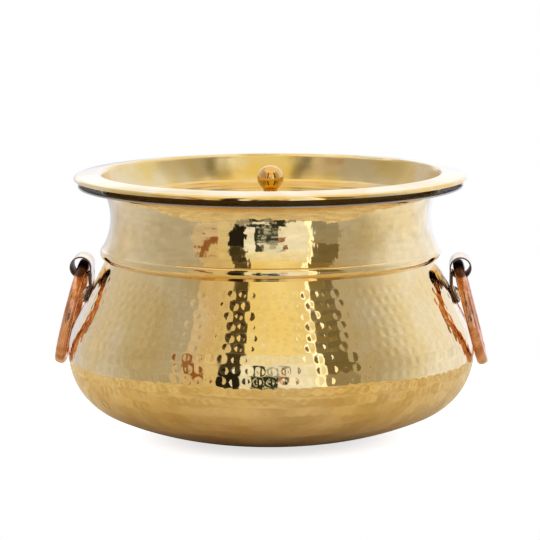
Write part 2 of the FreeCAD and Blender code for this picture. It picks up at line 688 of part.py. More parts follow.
def make_rivet(name, placement):
    body = new_body(name)
    body.Placement = placement
    sketch = body_sketch(body, name + "_profile")
    shape = Outline(sketch)
    head_r, head_h = size("rivet_head_radius"), size("rivet_head_height")
    bend = (head_r ** 2 + head_h ** 2) / (2 * head_h)
    length = size("rivet_length")
    dome = shape.arc((0, head_h - bend), bend, 90, angle_to((0, head_h - bend), (head_r, 0)))
    shape.rule("PointOnObject", dome[0], 3, -2)
    shape.rule("PointOnObject", dome[0], dome[1], -2)
    shape.at_y(dome, dome[1], "rivet_head_height", head_h)
    under = shape.line((head_r, 0), (size("rivet_radius"), 0))
    shape.join()
    shape.rule("PointOnObject", under[0], 1, -1)
    shape.rule("PointOnObject", under[0], 2, -1)
    shape.at_x(under, 1, "rivet_head_radius", head_r)
    shape.at_x(under, 2, "rivet_radius", size("rivet_radius"))
    shank = shape.line((size("rivet_radius"), 0), (size("rivet_radius"), -length))
    shape.join()
    shape.rule("Vertical", shank[0])
    shape.at_y(shank, 2, "-rivet_length", -length)
    lip = shape.line((size("rivet_radius"), -length), (size("rivet_tail_radius"), -length))
    shape.join()
    shape.rule("Horizontal", lip[0])
    shape.at_x(lip, 2, "rivet_tail_radius", size("rivet_tail_radius"))
    side = shape.line((size("rivet_tail_radius"), -length),
                      (size("rivet_tail_radius"), -length - size("rivet_tail_height")))
    shape.join()
    shape.rule("Vertical", side[0])
    shape.at_y(side, 2, "-rivet_length - rivet_tail_height", -length - size("rivet_tail_height"))
    end = shape.line((size("rivet_tail_radius"), -length - size("rivet_tail_height")),
                     (0, -length - size("rivet_tail_height")))
    shape.join()
    shape.rule("Horizontal", end[0])
    shape.rule("PointOnObject", end[0], 2, -2)
    shape.line((0, -length - size("rivet_tail_height")), (0, head_h))
    shape.join()
    shape.close()
    revolve(body, sketch, name + "_turning")
    return body


rivets = {}
for key, place in rivet_names.items():
    rivets[key] = make_rivet(key, rivet_seat(*place, lift=size("seat_gap")))


# Rings: a copper bar bent into a circle, hung through the eye and leaning out over the belly.

def make_ring(name, turn):
    body = new_body(name)
    hang = Placement(Vector(eye[0], 0, eye[1]), Rotation(Vector(0, 1, 0), -size("ring_lean")))
    drop = Placement(Vector(-size("ring_slip"), 0, -size("ring_drop")), Rotation())
    body.Placement = turn.multiply(hang).multiply(drop)
    sketch = body_sketch(body, name + "_bar")
    shape = Outline(sketch)
    bar = shape.circle((0, size("ring_radius")), size("bar_radius"))
    shape.rule("PointOnObject", bar, 3, -2)
    shape.dim("DistanceY", (-1, 1, bar, 3), "ring_radius", size("ring_radius"))
    shape.dim("Radius", (bar,), "bar_radius", size("bar_radius"))
    bend = body.newObject("PartDesign::Revolution", name + "_bend")
    bend.Profile = sketch
    bend.ReferenceAxis = (sketch, ["H_Axis"])
    bend.Angle = 360
    doc.recompute()
    return body


ring_bodies = {side: make_ring(side + "_ring", turn) for side, turn in turns.items()}


# Check every object of the model, then write each piece.

nodes = {"pot_body": pot_body, "lid": lid_node, "lid_knob": knob, "knob_washer": washer,
         "knob_screw": screw, "right_bracket": brackets["right"], "left_bracket": brackets["left"],
         "right_ring": ring_bodies["right"], "left_ring": ring_bodies["left"]}
nodes.update(rivets)

for thing in doc.Objects:
    if "Invalid" in thing.State or "Error" in thing.State:
        raise RuntimeError("%s is not valid: %s" % (thing.Name, thing.State))
for name, thing in nodes.items():
    if thing.Shape.isNull() or not thing.Shape.isValid() or len(thing.Shape.Solids) != 1:
        raise RuntimeError("%s has no single valid solid" % name)

os.makedirs("parts", exist_ok=True)
for name, thing in nodes.items():
    thing.Shape.exportStep("parts/%s.step" % name)
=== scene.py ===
import math

import bmesh
import bpy
from mathutils import Matrix, Vector


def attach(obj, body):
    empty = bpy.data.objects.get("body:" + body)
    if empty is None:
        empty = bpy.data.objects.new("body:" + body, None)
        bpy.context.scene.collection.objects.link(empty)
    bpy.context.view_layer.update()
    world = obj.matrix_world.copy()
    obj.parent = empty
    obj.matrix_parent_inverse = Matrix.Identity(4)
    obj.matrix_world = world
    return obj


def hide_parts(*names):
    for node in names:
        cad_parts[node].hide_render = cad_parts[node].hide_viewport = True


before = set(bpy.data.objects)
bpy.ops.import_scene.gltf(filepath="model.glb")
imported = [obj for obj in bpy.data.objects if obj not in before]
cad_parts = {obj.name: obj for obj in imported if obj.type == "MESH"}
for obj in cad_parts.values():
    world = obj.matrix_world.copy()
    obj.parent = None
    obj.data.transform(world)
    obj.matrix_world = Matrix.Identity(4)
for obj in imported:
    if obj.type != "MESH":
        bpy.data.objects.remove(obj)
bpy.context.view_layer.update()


# Hammered pot: one sheet of brass, 1.6 mm thick, raised into a round belly and a flared neck.
# The belly is planished all over with a ball-faced hammer, row by row, and the neck is left smooth.
# The bead at the foot of the neck stiffens it where the shoulder turns up into it.

def arc_line(centre, radius, start, end, steps):
    """Points along an arc of a section, given in metres and degrees, both ends included."""
    turns = [math.radians(start + (end - start) * step / steps) for step in range(steps + 1)]
    return [(centre[0] + radius * math.cos(t), centre[1] + radius * math.sin(t)) for t in turns]


def straight_line(start, end, steps):
    """Points along a straight part of a section, both ends included."""
    reach = (end[0] - start[0], end[1] - start[1])
    return [(start[0] + reach[0] * step / steps, start[1] + reach[1] * step / steps)
            for step in range(steps + 1)]


def section_object(name, zones):
    """A mesh of loose points in order along a section, each with the number of its zone."""
    points = []
    numbers = []
    for number, zone in enumerate(zones):
        for point in zone:
            if points and numbers[-1] == number and math.dist(points[-1], point) < 1e-6:
                continue
            points.append(point)
            numbers.append(number)
    mesh = bpy.data.meshes.new(name)
    edges = [(i, i + 1) for i in range(len(points) - 1) if numbers[i] == numbers[i + 1]]
    mesh.from_pydata([(r, 0.0, z) for r, z in points], edges, [])
    zone_of = mesh.attributes.new("zone", "INT", "POINT")
    zone_of.data.foreach_set("value", numbers)
    piece = bpy.data.objects.new(name, mesh)
    bpy.context.scene.collection.objects.link(piece)
    return piece


class NodeSet:
    """Short calls that add nodes to one tree, each input given as a socket or as a value."""

    def __init__(self, tree):
        self.tree = tree

    def node(self, kind, inputs=None, **settings):
        made = self.tree.nodes.new(kind)
        for key, value in settings.items():
            setattr(made, key, value)
        for key, value in (inputs or {}).items():
            if isinstance(value, bpy.types.NodeSocket):
                self.tree.links.new(value, made.inputs[key])
            else:
                made.inputs[key].default_value = value
        return made

    def maths(self, operation, *values):
        return self.node("ShaderNodeMath", dict(enumerate(values)), operation=operation).outputs[0]

    def axes(self, vector):
        """The X, Y and Z of a vector."""
        return self.node("ShaderNodeSeparateXYZ", {0: vector}).outputs


class NodeBench(NodeSet):
    """Lays out one Geometry Nodes tree, with short calls for the nodes that it uses most."""

    def __init__(self, name):
        super().__init__(bpy.data.node_groups.new(name, "GeometryNodeTree"))
        self.tree.interface.new_socket("Geometry", in_out="INPUT", socket_type="NodeSocketGeometry")
        self.tree.interface.new_socket("Geometry", in_out="OUTPUT", socket_type="NodeSocketGeometry")
        self.entry = self.node("NodeGroupInput")
        self.exit = self.node("NodeGroupOutput")

    def size(self, name, value):
        """Adds a named input, a whole number or a length as its value is."""
        kind = "NodeSocketInt" if isinstance(value, int) else "NodeSocketFloat"
        socket = self.tree.interface.new_socket(name, in_out="INPUT", socket_type=kind)
        socket.default_value = value
        return self.entry.outputs[name]

    def vector(self, x, y, z):
        return self.node("ShaderNodeCombineXYZ", {"X": x, "Y": y, "Z": z}).outputs[0]

    def scaled(self, vector, factor):
        return self.node("ShaderNodeVectorMath", {0: vector, 3: factor}, operation="SCALE").outputs[0]

    def unit(self, vector):
        return self.node("ShaderNodeVectorMath", {0: vector}, operation="NORMALIZE").outputs[0]

    def choose(self, switch, false, true):
        return self.node("GeometryNodeSwitch", {"Switch": switch, "False": false, "True": true},
                         input_type="FLOAT").outputs[0]

    def compare(self, operation, a, b):
        return self.node("FunctionNodeCompare", {"A": a, "B": b}, data_type="FLOAT",
                         operation=operation).outputs[0]

    def grid(self, columns, rows):
        """A grid of unit squares, and the column and row number of each of its points."""
        mesh = self.node("GeometryNodeMeshGrid", {
            "Size X": columns, "Size Y": rows,
            "Vertices X": self.maths("ADD", columns, 1.0), "Vertices Y": self.maths("ADD", rows, 1.0)})
        place = self.axes(self.node("GeometryNodeInputPosition").outputs[0])
        column = self.maths("ROUND", self.maths("MULTIPLY_ADD", columns, 0.5, place["X"]))
        row = self.maths("ROUND", self.maths("MULTIPLY_ADD", rows, 0.5, place["Y"]))
        return mesh.outputs["Mesh"], column, row

    def turned(self, mesh, radius, height, angle):
        """Moves the points of a grid to a radius, height and angle about the upright axis."""
        x = self.maths("MULTIPLY", radius, self.maths("COSINE", angle))
        y = self.maths("MULTIPLY", radius, self.maths("SINE", angle))
        return self.node("GeometryNodeSetPosition", {
            "Geometry": mesh, "Position": self.vector(x, y, height)}).outputs[0]

    def lathe(self, line, columns):
        """Turns a line of points about the upright axis."""
        count = self.node("GeometryNodeAttributeDomainSize", {"Geometry": line}).outputs["Point Count"]
        mesh, column, row = self.grid(columns, self.maths("SUBTRACT", count, 1.0))
        point = self.node("GeometryNodeSampleIndex", {
            "Geometry": line, "Value": self.node("GeometryNodeInputPosition").outputs[0], "Index": row},
            data_type="FLOAT_VECTOR")
        place = self.axes(point.outputs[0])
        angle = self.maths("MULTIPLY_ADD", self.maths("DIVIDE", column, columns), math.tau, math.pi / 2)
        return self.turned(mesh, place["X"], place["Z"], angle)

    def finish(self, geometry, material):
        """Welds the seams and poles, and gives the piece its material."""
        weld = 2e-6
        real = self.node("GeometryNodeRealizeInstances", {"Geometry": geometry}).outputs[0]
        welded = self.node("GeometryNodeMergeByDistance", {"Geometry": real, "Distance": weld}).outputs[0]
        smooth = self.node("GeometryNodeSetShadeSmooth", {"Geometry": welded}).outputs[0]
        painted = self.node("GeometryNodeSetMaterial", {"Geometry": smooth, "Material": material})
        self.tree.links.new(painted.outputs[0], self.exit.inputs[0])
        return self.tree


def make_piece(carrier, tree, values, crease=None):
    """Runs a tree on its carrier and keeps the result as a plain mesh at the origin, faces outwards."""
    modifier = carrier.modifiers.new("shape", "NODES")
    modifier.node_group = tree
    for socket in tree.interface.items_tree:
        if socket.in_out == "INPUT" and socket.name in values:
            modifier[socket.identifier] = values[socket.name]
    bpy.context.view_layer.update()
    solid = carrier.evaluated_get(bpy.context.evaluated_depsgraph_get())
    mesh = bpy.data.meshes.new_from_object(solid)
    mesh.name = carrier.name
    carrier.modifiers.remove(modifier)
    carrier.data = mesh
    work = bmesh.new()
    work.from_mesh(mesh)
    bmesh.ops.dissolve_degenerate(work, dist=1e-6, edges=work.edges)
    bmesh.ops.recalc_face_normals(work, faces=work.faces)
    work.to_mesh(mesh)
    work.free()
    mesh.shade_smooth()
    if crease:
        mesh.set_sharp_from_angle(angle=math.radians(crease))
    return carrier


class Shading(NodeSet):
    """The calls that the materials and the room share."""

    def step(self, value, none, full):
        """Nought at one value and one at the other, eased between the two."""
        return self.node("ShaderNodeMapRange", {"Value": value, "From Min": none, "From Max": full},
                         interpolation_type="SMOOTHSTEP").outputs["Result"]

    def between(self, value, start, rise, fall, end):
        """Nought outside start and end, one from rise to fall, and eased where it changes."""
        return self.maths("MULTIPLY", self.step(value, start, rise), self.step(value, end, fall))

    def blend(self, share, first, second, mode="MIX"):
        """Mixes two colours, given as sockets or as three numbers."""
        ends = [end if isinstance(end, bpy.types.NodeSocket) else (*end, 1.0) for end in (first, second)]
        return self.node("ShaderNodeMix", {"Factor": share, "A": ends[0], "B": ends[1]},
                         data_type="RGBA", blend_type=mode).outputs["Result"]


class Paint(Shading):
    """Lays out the nodes of one material, with its maths in terms of the place on the piece."""

    def __init__(self, name):
        self.material = bpy.data.materials.new(name)
        self.material.use_nodes = True
        super().__init__(self.material.node_tree)
        self.skin = self.tree.nodes["Principled BSDF"]
        self.place = self.node("ShaderNodeTexCoord").outputs["Object"]
        place = self.axes(self.place)
        self.x, self.y, self.z = place["X"], place["Y"], place["Z"]
        self.surface = None

    def reach(self, a, b):
        """Distance of the point (a, b) from the origin."""
        squares = self.maths("ADD", self.maths("MULTIPLY", a, a), self.maths("MULTIPLY", b, b))
        return self.maths("SQRT", squares)

    def noise(self, scale, detail, stretch):
        squeezed = self.node("ShaderNodeMapping", {"Vector": self.place, "Scale": stretch}).outputs["Vector"]
        speckle = self.node("ShaderNodeTexNoise", {"Vector": squeezed, "Scale": scale, "Detail": detail})
        return speckle.outputs["Fac"]

    def clouds(self, scale, detail, none=0.36, full=0.6, stretch=(1.0, 1.0, 1.0)):
        """Soft random patches, as a share between nought and one."""
        return self.step(self.noise(scale, detail, stretch), none, full)

    def mix(self, share, first, second):
        """Mixes two numbers or sockets."""
        return self.node("ShaderNodeMix", {0: share, 2: first, 3: second}).outputs[0]

    def brass(self, colour, stain, shine, haze=0.08, size=22.0):
        """Clear metal with brown-gold stains and a faint polishing haze; gives its colour and roughness."""
        self.skin.inputs["Metallic"].default_value = 1.0
        patches = self.blend(self.clouds(size, 5.0), stain, colour)
        dull = self.maths("MULTIPLY_ADD", self.clouds(70.0, 4.0, 0.4, 0.75), haze, shine)
        return patches, dull

    def lacquer(self, weight):
        self.skin.inputs["Coat Weight"].default_value = weight
        self.skin.inputs["Coat Roughness"].default_value = 0.06
        self.skin.inputs["Coat IOR"].default_value = 1.5

    def lay_over(self, height, depth):
        """Lays a relief over the one that the material has already."""
        bump = self.node("ShaderNodeBump", {"Height": height, "Strength": 1.0, "Distance": depth})
        if self.surface:
            self.tree.links.new(self.surface, bump.inputs["Normal"])
        self.surface = bump.outputs["Normal"]

    def ripple(self, scale, depth, stretch=(1.0, 1.0, 1.0), where=1.0):
        """A faintly wavy skin."""
        centred = self.maths("SUBTRACT", self.noise(scale, 2.0, stretch), 0.5)
        self.lay_over(self.maths("MULTIPLY", centred, where), depth)

    def turning_lines(self, radius, pitch, depth, where):
        """Low waves that run round the piece."""
        wave = self.maths("SINE", self.maths("MULTIPLY", radius, math.tau / pitch))
        self.lay_over(self.maths("MULTIPLY", wave, where), depth)

    def done(self, colour, dull):
        self.tree.links.new(colour, self.skin.inputs["Base Color"])
        self.tree.links.new(dull, self.skin.inputs["Roughness"])
        self.tree.links.new(self.surface, self.skin.inputs["Normal"])
        return self.material


shadow_brown = (0.40, 0.31, 0.22)
paint = Paint("hammered_brass")
colour, dull = paint.brass((0.90, 0.675, 0.33), (0.87, 0.60, 0.22), 0.03)
radius = paint.reach(paint.x, paint.y)

# the top of the rim and its edge, which the lid covers, are painted darker and duller: painted shade under
# the lid, dark brown on the top and greyer on the edge
rim_slope = 0.0875
over_rim = paint.maths("MULTIPLY_ADD", radius, -rim_slope, paint.z)
rim_top_painted_shade = paint.maths("MULTIPLY", paint.step(over_rim, 0.1748, 0.1754), paint.step(radius, 0.120, 0.122))
rim_edge_painted_shade = paint.maths("MULTIPLY", paint.step(radius, 0.1408, 0.1414), paint.step(paint.z, 0.185, 0.186))
colour = paint.blend(rim_top_painted_shade, colour, shadow_brown)
colour = paint.blend(rim_edge_painted_shade, colour, (0.50, 0.44, 0.38))
dull = paint.mix(paint.maths("MAXIMUM", rim_top_painted_shade, rim_edge_painted_shade), dull, 0.45)

# the plain neck is wavier than the belly between its marks
on_neck = paint.step(paint.z, 0.134, 0.144)
paint.ripple(130.0, 0.00007, (1.0, 1.0, 0.5), paint.maths("MULTIPLY_ADD", on_neck, 1.8, 1.0))
paint.lacquer(0.6)
hammered_brass = paint.done(colour, dull)


def hammer_rows(bench, line, marks, rows, start, end, above, below, mark_radius, depth, seed):
    """Rows of round hammer marks between two lengths of the section line.

    Each mark has a square of six by six faces, whose inner points stand in rings round its middle.
    The rows' outer edges are gathered to the column counts of what lies above and below.
    """
    side = 6.0
    half_side = side / 2
    columns = bench.maths("MULTIPLY", marks, side)
    lines = bench.maths("MULTIPLY", rows, side)
    mesh, column, row = bench.grid(columns, lines)
    belt = bench.maths("FLOOR", bench.maths("DIVIDE", row, side))
    shift = bench.node("FunctionNodeRandomValue", {4: 0, 5: int(side) - 1, "ID": belt, "Seed": seed},
                       data_type="INT").outputs[2]
    shifted = bench.maths("ADD", column, shift)
    across = bench.maths("SUBTRACT", bench.maths("FLOORED_MODULO", shifted, side), half_side)
    along = bench.maths("SUBTRACT", bench.maths("FLOORED_MODULO", row, side), half_side)
    number = bench.maths("FLOOR", bench.maths("DIVIDE", shifted, side))
    ring = bench.maths("MAXIMUM", bench.maths("ABSOLUTE", across), bench.maths("ABSOLUTE", along))
    in_mark = bench.compare("LESS_THAN", ring, 2.5)

    # the middle of the mark, a little off its place in the row
    key = bench.maths("MULTIPLY_ADD", belt, 1000.0, bench.maths("FLOORED_MODULO", number, marks))
    chance = bench.node("FunctionNodeRandomValue", {
        "Min": (-1.0, -1.0, -1.0), "Max": (1.0, 1.0, 1.0), "ID": key, "Seed": seed},
        data_type="FLOAT_VECTOR")
    luck = bench.axes(chance.outputs[0])
    middle_column = bench.maths("SUBTRACT", bench.maths("MULTIPLY_ADD", number, side, half_side), shift)
    middle_row = bench.maths("MULTIPLY_ADD", belt, side, half_side)
    reach = bench.maths("SUBTRACT", end, start)
    middle_length = bench.maths("MULTIPLY_ADD", bench.maths("DIVIDE", middle_row, lines), reach, start)
    curve = bench.node("GeometryNodeMeshToCurve", {"Mesh": line}).outputs[0]

    def on_line(length):
        """Place on the section line, and the way that the line runs there."""
        sample = bench.node("GeometryNodeSampleCurve", {"Curves": curve, "Length": length}, mode="LENGTH")
        return bench.axes(sample.outputs["Position"]), bench.axes(sample.outputs["Tangent"])

    # its size, which is never so large that it leaves its square
    largest, farthest = 0.43, 0.47
    slack_used = 0.9
    size_spread = 0.12
    middle_radius = on_line(middle_length)[0]["X"]
    girth = bench.maths("MULTIPLY", middle_radius, math.tau)
    pitch = bench.maths("DIVIDE", girth, marks)
    grown = bench.maths("MULTIPLY", mark_radius, bench.maths("MULTIPLY_ADD", luck["Z"], size_spread, 1.0))
    radius = bench.maths("MINIMUM", grown, bench.maths("MULTIPLY", pitch, largest))
    slack = bench.maths("SUBTRACT", bench.maths("MULTIPLY", pitch, farthest), radius)
    slack = bench.maths("MULTIPLY", slack, slack_used)

    # the place in the mark: rings at 0, 0.58 and 1 times its radius
    inner_ring = 0.58
    drift = 0.0006
    safe = bench.maths("MAXIMUM", ring, 1.0)
    lean_x = bench.maths("TANGENT", bench.maths("MULTIPLY", bench.maths("DIVIDE", across, safe), math.pi / 4))
    lean_y = bench.maths("TANGENT", bench.maths("MULTIPLY", bench.maths("DIVIDE", along, safe), math.pi / 4))
    inner = bench.compare("LESS_THAN", ring, 1.5)
    spread = bench.choose(inner, radius, bench.maths("MULTIPLY", radius, inner_ring))
    offset = bench.axes(bench.scaled(bench.unit(bench.vector(lean_x, lean_y, 0.0)), spread))
    aside = bench.maths("MULTIPLY_ADD", luck["X"], slack, offset["X"])
    lower = bench.maths("MULTIPLY_ADD", luck["Y"], drift, offset["Y"])

    # points between the marks stay on the grid, and its two edges are gathered
    top = bench.compare("LESS_THAN", row, 0.5)
    bottom = bench.compare("GREATER_THAN", row, bench.maths("SUBTRACT", lines, 0.5))
    wanted = bench.choose(top, bench.choose(bottom, columns, below), above)
    gathered = bench.maths("MULTIPLY_ADD", bench.maths("DIVIDE", column, columns), wanted, 0.5)
    plain_turn = bench.maths("DIVIDE", bench.maths("FLOOR", gathered), wanted)
    plain_length = bench.maths("MULTIPLY_ADD", bench.maths("DIVIDE", row, lines), reach, start)
    mark_turn = bench.maths("ADD", bench.maths("DIVIDE", middle_column, columns),
                            bench.maths("DIVIDE", aside, girth))
    mark_length = bench.maths("ADD", middle_length, lower)
    turn = bench.choose(in_mark, plain_turn, mark_turn)
    length = bench.choose(in_mark, plain_length, mark_length)

    # how far each point is beaten in, square to the sheet: the middle whole, the inner ring in part
    usual_blow, blow_spread = 0.95, 0.33
    inner_share = 0.66
    hard = bench.maths("MULTIPLY", depth, bench.maths("MULTIPLY_ADD", luck["Z"], blow_spread, usual_blow))
    at_middle = bench.compare("LESS_THAN", ring, 0.5)
    share = bench.choose(inner, 0.0, bench.choose(at_middle, inner_share, 1.0))
    beaten = bench.choose(in_mark, 0.0, bench.maths("MULTIPLY", hard, share))
    place, way = on_line(length)
    final_radius = bench.maths("MULTIPLY_ADD", way["Z"], beaten, place["X"])
    final_height = bench.maths("SUBTRACT", place["Z"], bench.maths("MULTIPLY", way["X"], beaten))
    angle = bench.maths("MULTIPLY_ADD", turn, math.tau, math.pi / 2)
    return bench.turned(mesh, final_radius, final_height, angle)


pot_sizes = {"Marks round": 108.0, "Mark radius": 0.0032, "Mark depth": 0.00021, "Seed": 12}
bench = NodeBench("hammered_pot")
marks, mark_radius, mark_depth, seed = [bench.size(*entry) for entry in pot_sizes.items()]
zone = bench.node("GeometryNodeInputNamedAttribute", {"Name": "zone"}, data_type="INT").outputs[0]
lines = []
for number in range(3):
    chosen = bench.node("FunctionNodeCompare", {2: zone, 3: number}, data_type="INT", operation="EQUAL")
    lines.append(bench.node("GeometryNodeSeparateGeometry", {
        "Geometry": bench.entry.outputs["Geometry"], "Selection": chosen.outputs[0]}).outputs["Selection"])
top_line, hammered_line, foot_line = lines

# fewer marks go round where the bowl draws in, so that they stay alike in size
first_end, second_end, last_end = 0.0942, 0.1510, 0.19212
fewer_marks = bench.maths("MULTIPLY", marks, 0.75)
fewest_marks = bench.maths("MULTIPLY", marks, 0.5)
half = bench.maths("MULTIPLY", marks, 3.0)
three_quarters = bench.maths("MULTIPLY", marks, 4.5)
shell = bench.node("GeometryNodeJoinGeometry")
for part in (
        bench.lathe(top_line, half),
        bench.lathe(foot_line, half),
        hammer_rows(bench, hammered_line, marks, 12.0, 0.0, first_end,
                    half, three_quarters, mark_radius, mark_depth, seed),
        hammer_rows(bench, hammered_line, fewer_marks, 7.0, first_end, second_end,
                    three_quarters, half, mark_radius, mark_depth, seed),
        hammer_rows(bench, hammered_line, fewest_marks, 4.0, second_end, last_end,
                    half, half, mark_radius, mark_depth, seed)):
    bench.tree.links.new(part, shell.inputs[0])
hammered_pot = bench.finish(shell.outputs[0], hammered_brass)

crease_point = (0.1216, 0.133134)
belly_top = (0.145032, 0.085432)
shoulder_length = 0.053148
plain_length = 0.0072
share = plain_length / shoulder_length
first_row = tuple(a + share * (b - a) for a, b in zip(crease_point, belly_top))

# up the outside from the first row of marks, over the rim and down the inside
plain_top = (
    straight_line(first_row, crease_point, 3)
    # bead, hollow neck and the bend into the flare
    + arc_line((0.121, 0.138098), 0.005, -83.1, 51.1, 11)
    + arc_line((0.1612, 0.163793), 0.043, 210.6, 157.07, 18)
    + arc_line((0.128965, 0.177428), 0.008, 157.07, 95.0, 8)
    # flare, its rounded edge and its upper face
    + straight_line((0.128268, 0.185397), (0.1412, 0.186529), 2)
    + arc_line((0.141130, 0.187326), 0.0008, -85.0, 95.0, 5)
    + straight_line((0.141060, 0.188123), (0.128129, 0.186991), 1)
    # inside: bend, neck, bead, shoulder, belly and bowl
    + arc_line((0.128965, 0.177428), 0.0096, 95.0, 157.07, 5)
    + arc_line((0.1612, 0.163793), 0.0446, 157.07, 209.0, 4)
    + arc_line((0.1210, 0.138098), 0.0034, 45.0, -60.0, 3)
    + straight_line((0.1207, 0.1318), (0.143596, 0.084727), 1)
    + arc_line((0.1015, 0.064048), 0.0469, 26.16, -66.1, 5)
    + arc_line((0.028, 0.230), 0.2284, -66.1, -90.0, 3)
    + [(0.0, 0.0016)])

# down the outside from the first row of marks: shoulder, belly and bowl, and then the foot
belly_line = (
    straight_line(first_row, belly_top, 12)
    + arc_line((0.1015, 0.064048), 0.0485, 26.16, -66.1, 60)
    + arc_line((0.028, 0.230), 0.230, -66.1, -83.02, 16))
base_line = arc_line((0.028, 0.230), 0.230, -83.02, -90.0, 3) + [(0.0, 0.0)]
pot_section = section_object("brass_pot", [plain_top, belly_line, base_line])
pot = make_piece(pot_section, hammered_pot, pot_sizes, crease=38)
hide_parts("pot_body")
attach(pot, "pot")


# Lid: a spun brass dish that sits in the pot's mouth, its flange lying out over the rim.
# The chuck left a flat disc in its middle and low turning waves that run round its floor.
# Its wall has gone a little golden and dull, and the flange's underside over the rim and the outside of the
# hanging wall are painted dark brown: painted shade.

paint = Paint("polished_brass")
colour, dull = paint.brass((0.91, 0.68, 0.32), (0.86, 0.55, 0.14), 0.04, size=34.0)
radius = paint.reach(paint.x, paint.y)

# the underside of the flange, and the outside of the wall that hangs in the mouth, painted dark brown and
# duller as painted shade
flange_slope = 0.1104
wall_slope = 0.4247
under_flange = paint.maths("MULTIPLY_ADD", radius, flange_slope, paint.z)
under = paint.maths("MULTIPLY", paint.step(under_flange, 0.2108, 0.2104),
                    paint.between(radius, 0.1258, 0.1264, 0.1435, 0.1437))
from_wall = paint.maths("MULTIPLY_ADD", paint.z, -wall_slope, radius)
behind = paint.maths("MULTIPLY", paint.step(paint.z, 0.1948, 0.1942), paint.step(radius, 0.1264, 0.1258))
behind = paint.maths("MULTIPLY", paint.step(from_wall, 0.04255, 0.0428), behind)
lid_painted_shade = paint.maths("MAXIMUM", under, behind)
colour = paint.blend(lid_painted_shade, colour, shadow_brown)
dull = paint.mix(lid_painted_shade, dull, 0.5)

# the knob, deeper in colour, with its lower half painted darker amber: a painted reflection of the lid below
# it
on_knob = paint.step(radius, 0.0120, 0.0110)
knob_lower_painted_reflection = paint.maths("MULTIPLY", on_knob, paint.step(paint.z, 0.1928, 0.1908))
colour = paint.blend(on_knob, colour, (0.83, 0.46, 0.12))
colour = paint.blend(knob_lower_painted_reflection, colour, (0.70, 0.38, 0.02))

# the sloping wall and the floor inside
on_wall = paint.between(radius, 0.1135, 0.1165, 0.1240, 0.1262)
golden = paint.blend(paint.clouds(30.0, 4.0, 0.4, 0.6), (0.84, 0.63, 0.30), (0.84, 0.57, 0.17))
colour = paint.blend(on_wall, colour, golden)
dull = paint.maths("MULTIPLY_ADD", on_wall, 0.17, dull)
on_floor = paint.between(radius, 0.014, 0.018, 0.106, 0.110)
colour = paint.blend(on_floor, colour, (0.82, 0.61, 0.30))
paint.ripple(60.0, 0.00005)
paint.turning_lines(radius, 0.021, 0.00022, on_floor)
paint.ripple(13.0, 0.0085, (1.0, 1.0, 0.6), on_wall)
paint.lacquer(0.5)
polished_brass = paint.done(colour, dull)

bench = NodeBench("turned_piece")
faces_round = bench.size("Faces round", 320.0)
turned_mesh = bench.lathe(bench.entry.outputs["Geometry"], faces_round)
turned_piece = bench.finish(turned_mesh, polished_brass)

# the underside from the screw's hole out to the edge, the turned-down edge, and the top back in
lid_under = (
    # disc, step and floor
    straight_line((0.0023, 0.176393), (0.088, 0.176393), 10)
    + straight_line((0.088, 0.176393), (0.0904, 0.175193), 3)
    + straight_line((0.0904, 0.175193), (0.113952, 0.175193), 3)
    # bend, from which the wall runs straight to the crown, then the flange and its edge
    + arc_line((0.113952, 0.180193), 0.005, -90.0, -23.0, 6)
    + arc_line((0.127660, 0.193293), 0.0025, 157.0, 83.7, 8)
    + arc_line((0.1421, 0.192705), 0.0015, 83.7, 0.0, 6))
lid_over = (
    # edge, flange and crown, the slightly hollow wall and the bend
    arc_line((0.1421, 0.192705), 0.0027, 0.0, 83.7, 8)
    + arc_line((0.127660, 0.193293), 0.0037, 83.7, 166.3, 11)
    + arc_line((0.071740, 0.207240), 0.05393, -14.1, -32.5, 10)
    + arc_line((0.113952, 0.180193), 0.0038, -32.3, -90.0, 6)
    # floor, step and disc
    + straight_line((0.113952, 0.176393), (0.0908, 0.176393), 4)
    + straight_line((0.0904, 0.1764), (0.0880, 0.1776), 3)
    + straight_line((0.0876, 0.177593), (0.0023, 0.177593), 10)
    + [(0.0023, 0.176393)])
lid_edge = [(0.1436, 0.192305), (0.1442, 0.192205), (0.1448, 0.192405)]
lid_section = section_object("brass_lid", [lid_under + lid_edge + lid_over])
lid = make_piece(lid_section, turned_piece, {"Faces round": 320.0}, crease=38)
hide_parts("lid")
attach(lid, "pot")


# Knob: a solid brass ball on a hollowed neck, turned in one piece.
# It stands on the middle of the lid, and a screw from below holds it there.

ball_middle, ball_radius = 0.191793, 0.0097
knob_line = (
    [(0.0, 0.2015)]
    + arc_line((0.0, ball_middle), ball_radius, 90.0, -47.8, 28)
    + arc_line((0.0092, 0.181642), 0.004, 132.2, 236.6, 12)
    + [(0.007, 0.178301), (0.007, 0.1778), (0.0068, 0.177593), (0.0, 0.177593)])
knob = make_piece(section_object("ball_knob", [knob_line]), turned_piece, {"Faces round": 96.0}, crease=50)
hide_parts("lid_knob")
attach(knob, "pot")


# Fixings under the lid: a plain washer and a slotted screw, turned from brass bar.
# The screw goes up through washer and lid into the knob, and both have gone dull.

paint = Paint("plain_brass")
colour, dull = paint.brass((0.84, 0.60, 0.27), (0.62, 0.38, 0.14), 0.16, size=160.0)
paint.ripple(300.0, 0.00002)
plain_brass = paint.done(colour, dull)


def repaint(node, material):
    """Gives a solid that is kept as it is a better material."""
    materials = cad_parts[node].data.materials
    materials.clear()
    materials.append(material)


for node in ("knob_washer", "knob_screw"):
    repaint(node, plain_brass)
